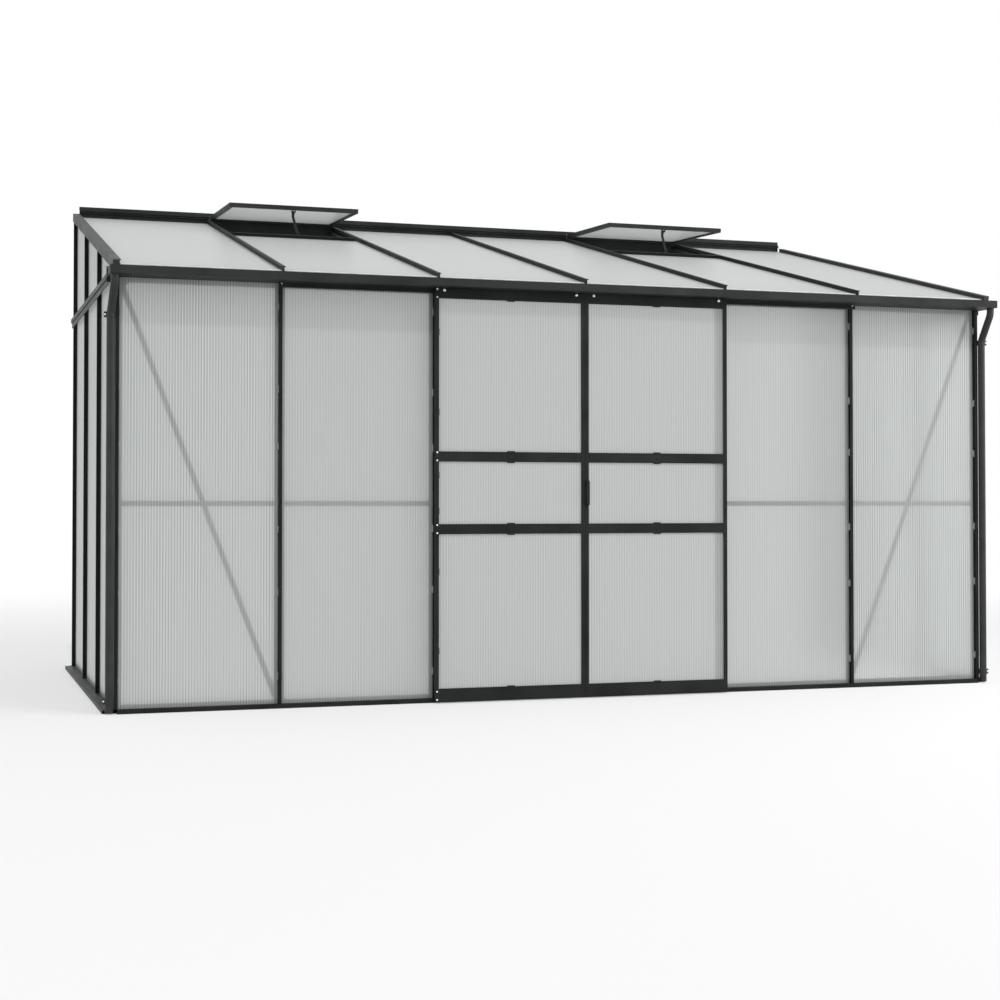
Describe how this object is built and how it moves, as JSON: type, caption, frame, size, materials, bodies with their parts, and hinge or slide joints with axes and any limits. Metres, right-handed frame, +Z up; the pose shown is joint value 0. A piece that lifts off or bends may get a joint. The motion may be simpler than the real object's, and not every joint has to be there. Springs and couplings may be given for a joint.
{
  "type": "lean_to_greenhouse",
  "caption": "Lean-to greenhouse in dark powder-coated aluminium with twin-wall sheets, sliding double doors, opening roof vents, a gutter with corner downpipes and a plate for the house wall",
  "frame": {"origin": "middle of the footprint on the ground", "axes": "+X to the right along the front as seen from outside, +Y towards the house wall, +Z up"},
  "size_m": [3.8202, 2.0034, 2.2066],
  "materials": {
    "dark_aluminium": "dark grey powder coat, satin",
    "black_aluminium": "near-black powder coat, satin",
    "grey_aluminium": "grey powder coat, satin",
    "pipe_plastic": "satin",
    "twinwall_sheet": "translucent ribbed twin-wall sheet",
    "nylon": "satin",
    "zinc_steel": "zinc-plated screws, bolts and nuts",
    "clip_plastic": "satin"
  },
  "bodies": {
    "structure": {"eaves_gutter": "dark_aluminium", "front_sheet_1": "twinwall_sheet", "front_sheet_2": "twinwall_sheet", "front_sheet_5": "twinwall_sheet", "front_sheet_6": "twinwall_sheet", "front_sill": "grey_aluminium", "left_bracing": "grey_aluminium", "left_corner_post": "black_aluminium", "left_door_jamb": "black_aluminium", "left_downpipe": "pipe_plastic", "left_end_rafter": "dark_aluminium", "left_front_bar": "black_aluminium", "left_gable_bar_1": "black_aluminium", "left_gable_bar_2": "black_aluminium", "left_gable_rail": "grey_aluminium", "left_gable_sheet_1": "twinwall_sheet", "left_gable_sheet_2": "twinwall_sheet", "left_gable_sheet_3": "twinwall_sheet", "left_gable_sill": "grey_aluminium", "left_wall_bar": "black_aluminium", "rafter_1": "dark_aluminium", "rafter_2": "dark_aluminium", "rafter_3": "dark_aluminium", "rafter_4": "dark_aluminium", "rafter_5": "dark_aluminium", "right_bracing": "grey_aluminium", "right_corner_post": "black_aluminium", "right_door_jamb": "black_aluminium", "right_downpipe": "pipe_plastic", "right_end_rafter": "dark_aluminium", "right_front_bar": "black_aluminium", "right_gable_bar_1": "black_aluminium", "right_gable_bar_2": "black_aluminium", "right_gable_rail": "grey_aluminium", "right_gable_sheet_1": "twinwall_sheet", "right_gable_sheet_2": "twinwall_sheet", "right_gable_sheet_3": "twinwall_sheet", "right_gable_sill": "grey_aluminium", "right_wall_bar": "black_aluminium", "roof_sheet_1": "twinwall_sheet", "roof_sheet_2": "twinwall_sheet", "roof_sheet_3": "twinwall_sheet", "roof_sheet_4": "twinwall_sheet", "roof_sheet_5": "twinwall_sheet", "roof_sheet_6": "twinwall_sheet", "wall_plate": "dark_aluminium"},
    "left_door": {"left_door_frame": "dark_aluminium", "left_door_sheets": "twinwall_sheet"},
    "right_door": {"right_door_frame": "dark_aluminium", "right_door_sheets": "twinwall_sheet"},
    "left_vent": {"left_vent_frame": "dark_aluminium", "left_vent_sheet": "twinwall_sheet"},
    "right_vent": {"right_vent_frame": "dark_aluminium", "right_vent_sheet": "twinwall_sheet"},
    "left_stay": {"left_vent_stay": "dark_aluminium"},
    "right_stay": {"right_vent_stay": "dark_aluminium"},
    "left_wheel_1": {"left_door_wheel_1": "nylon"},
    "left_wheel_2": {"left_door_wheel_2": "nylon"},
    "right_wheel_1": {"right_door_wheel_1": "nylon"},
    "right_wheel_2": {"right_door_wheel_2": "nylon"}
  },
  "joints": [
    {"name": "left_door_slide", "type": "slide", "parent": "structure", "child": "left_door", "axis": [-1, 0, 0], "range_m": [0, 0.6]},
    {"name": "left_wheel_1_turn", "type": "hinge", "parent": "left_door", "child": "left_wheel_1", "pos_m": [-0.0375, -0.91475, 1.6315], "axis": [0, -1, 0], "continuous": true},
    {"name": "left_wheel_2_turn", "type": "hinge", "parent": "left_door", "child": "left_wheel_2", "pos_m": [-0.5945, -0.91475, 1.6315], "axis": [0, -1, 0], "continuous": true},
    {"name": "left_vent_hinge", "type": "hinge", "parent": "structure", "child": "left_vent", "pos_m": [-0.93, 0.97675, 2.18], "axis": [-1, 0, 0], "range_deg": [-11.1, 4]},
    {"name": "left_stay_pivot", "type": "hinge", "parent": "left_vent", "child": "left_stay", "pos_m": [-0.93, 0.42212, 2.13783], "axis": [-1, 0, 0], "range_deg": [-5, 12]},
    {"name": "right_door_slide", "type": "slide", "parent": "structure", "child": "right_door", "axis": [1, 0, 0], "range_m": [0, 0.6]},
    {"name": "right_wheel_1_turn", "type": "hinge", "parent": "right_door", "child": "right_wheel_1", "pos_m": [0.0375, -0.91475, 1.6315], "axis": [0, 1, 0], "continuous": true},
    {"name": "right_wheel_2_turn", "type": "hinge", "parent": "right_door", "child": "right_wheel_2", "pos_m": [0.5945, -0.91475, 1.6315], "axis": [0, 1, 0], "continuous": true},
    {"name": "right_vent_hinge", "type": "hinge", "parent": "structure", "child": "right_vent", "pos_m": [0.93, 0.97675, 2.18], "axis": [-1, 0, 0], "range_deg": [-11.1, 4]},
    {"name": "right_stay_pivot", "type": "hinge", "parent": "right_vent", "child": "right_stay", "pos_m": [0.93, 0.42212, 2.13783], "axis": [-1, 0, 0], "range_deg": [-5, 12]}
  ],
  "couplings": [
    {"joint": "left_wheel_1_turn", "follows": "left_door_slide", "rad_per_m": 153.85},
    {"joint": "left_wheel_2_turn", "follows": "left_door_slide", "rad_per_m": 153.85},
    {"joint": "left_stay_pivot", "follows": "left_vent_hinge", "ratio": -1},
    {"joint": "right_wheel_1_turn", "follows": "right_door_slide", "rad_per_m": 153.85},
    {"joint": "right_wheel_2_turn", "follows": "right_door_slide", "rad_per_m": 153.85},
    {"joint": "right_stay_pivot", "follows": "right_vent_hinge", "ratio": -1}
  ]
}
